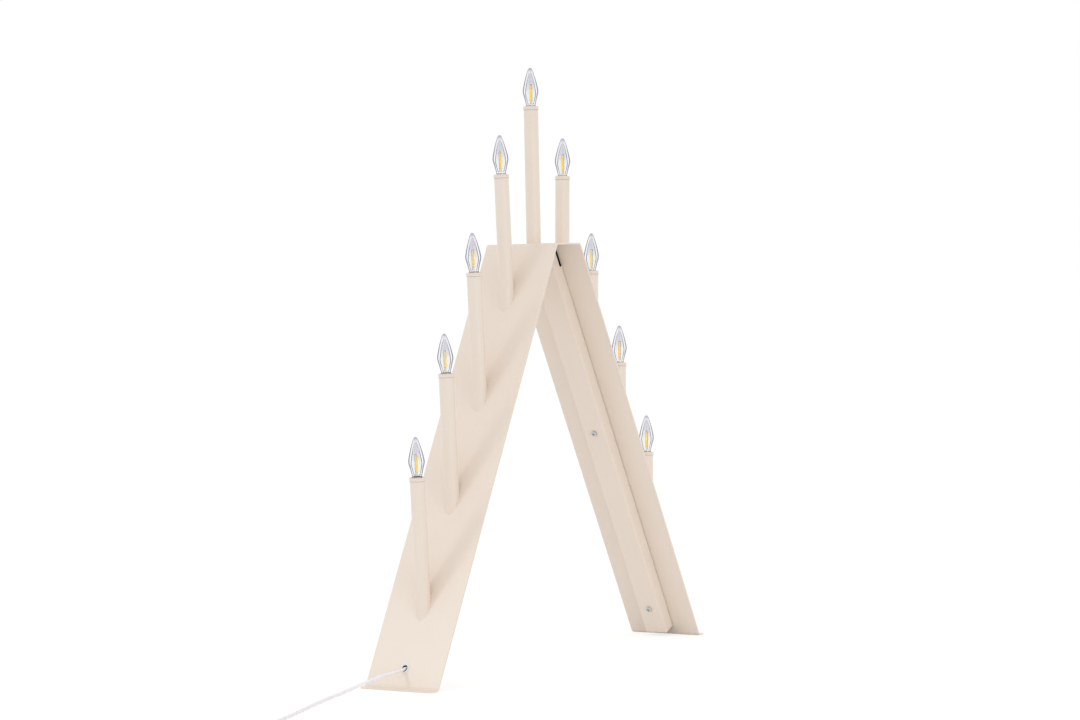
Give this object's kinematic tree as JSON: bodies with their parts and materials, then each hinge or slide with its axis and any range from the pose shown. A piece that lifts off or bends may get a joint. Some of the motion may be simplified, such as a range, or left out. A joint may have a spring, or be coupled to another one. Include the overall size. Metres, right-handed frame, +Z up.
{
  "type": "candle arch",
  "caption": "Free-standing electric candle arch: a bent sheet-metal band with upright tube candles, clear flame bulbs that unscrew, wiring covers inside the legs and a corded plug.",
  "frame": {"origin": "on the floor, below the middle of the arch", "axes": "+Z up, +X along the span towards the leg without the cord, +Y from the front to the back"},
  "size_m": [0.8484, 0.132, 0.5769],
  "materials": {
    "white_enamel": "warm white satin lacquer",
    "white_plastic": "white, fine matte",
    "holder_plastic": "warm white, satin",
    "terminal_plastic": "off-white, satin",
    "plated_steel": "zinc-plated, satin",
    "brass": "plain",
    "cap_nickel": "nickel-plated",
    "pin_nickel": "nickel-plated",
    "wire_skin": "off-white insulation",
    "cord_skin": "white, slightly clear skin",
    "clear_glass": "clear, thick-walled",
    "filament_amber": "amber coating"
  },
  "bodies": {
    "arch": {"arch_sheet": "white_enamel", "cover_left": "white_enamel", "cover_right": "white_enamel", "cover_pillars": "plated_steel", "cover_screws": "plated_steel", "cord_bushing": "white_plastic", "terminal_block": "terminal_plastic", "terminal_screws": "brass", "link_wires": "wire_skin", "supply_wires": "wire_skin", "lamp_holders_left": "holder_plastic", "lamp_holders_center": "holder_plastic", "lamp_holders_right": "holder_plastic", "socket_shells": "brass", "socket_contacts": "brass", "cord_lead": "cord_skin", "cord_coil": "cord_skin", "cord_tail": "cord_skin", "plug_body": "white_plastic", "plug_pins": "pin_nickel", "candle_tube_center": "white_enamel", "candle_tube_left_1": "white_enamel", "candle_tube_left_2": "white_enamel", "candle_tube_left_3": "white_enamel", "candle_tube_left_4": "white_enamel", "candle_tube_right_1": "white_enamel", "candle_tube_right_2": "white_enamel", "candle_tube_right_3": "white_enamel", "candle_tube_right_4": "white_enamel"},
    "bulb_center": {"bulb_glass_center": "clear_glass", "bulb_base_center": "cap_nickel", "bulb_filament_center": "filament_amber"},
    "bulb_left_1": {"bulb_glass_left_1": "clear_glass", "bulb_base_left_1": "cap_nickel", "bulb_filament_left_1": "filament_amber"},
    "bulb_left_2": {"bulb_glass_left_2": "clear_glass", "bulb_base_left_2": "cap_nickel", "bulb_filament_left_2": "filament_amber"},
    "bulb_left_3": {"bulb_glass_left_3": "clear_glass", "bulb_base_left_3": "cap_nickel", "bulb_filament_left_3": "filament_amber"},
    "bulb_left_4": {"bulb_glass_left_4": "clear_glass", "bulb_base_left_4": "cap_nickel", "bulb_filament_left_4": "filament_amber"},
    "bulb_right_1": {"bulb_glass_right_1": "clear_glass", "bulb_base_right_1": "cap_nickel", "bulb_filament_right_1": "filament_amber"},
    "bulb_right_2": {"bulb_glass_right_2": "clear_glass", "bulb_base_right_2": "cap_nickel", "bulb_filament_right_2": "filament_amber"},
    "bulb_right_3": {"bulb_glass_right_3": "clear_glass", "bulb_base_right_3": "cap_nickel", "bulb_filament_right_3": "filament_amber"},
    "bulb_right_4": {"bulb_glass_right_4": "clear_glass", "bulb_base_right_4": "cap_nickel", "bulb_filament_right_4": "filament_amber"}
  },
  "joints": [
    {"name": "unscrew_bulb_center", "type": "slide", "parent": "arch", "child": "bulb_center", "axis": [0, 0, 1], "range_m": [0, 0.00724]},
    {"name": "unscrew_bulb_left_1", "type": "slide", "parent": "arch", "child": "bulb_left_1", "axis": [-0.0436, 0, 0.999], "range_m": [0, 0.00724]},
    {"name": "unscrew_bulb_left_2", "type": "slide", "parent": "arch", "child": "bulb_left_2", "axis": [-0.0436, 0, 0.999], "range_m": [0, 0.00724]},
    {"name": "unscrew_bulb_left_3", "type": "slide", "parent": "arch", "child": "bulb_left_3", "axis": [-0.0436, 0, 0.999], "range_m": [0, 0.00724]},
    {"name": "unscrew_bulb_left_4", "type": "slide", "parent": "arch", "child": "bulb_left_4", "axis": [-0.0436, 0, 0.999], "range_m": [0, 0.00724]},
    {"name": "unscrew_bulb_right_1", "type": "slide", "parent": "arch", "child": "bulb_right_1", "axis": [0.0436, 0, 0.999], "range_m": [0, 0.00724]},
    {"name": "unscrew_bulb_right_2", "type": "slide", "parent": "arch", "child": "bulb_right_2", "axis": [0.0436, 0, 0.999], "range_m": [0, 0.00724]},
    {"name": "unscrew_bulb_right_3", "type": "slide", "parent": "arch", "child": "bulb_right_3", "axis": [0.0436, 0, 0.999], "range_m": [0, 0.00724]},
    {"name": "unscrew_bulb_right_4", "type": "slide", "parent": "arch", "child": "bulb_right_4", "axis": [0.0436, 0, 0.999], "range_m": [0, 0.00724]}
  ]
}
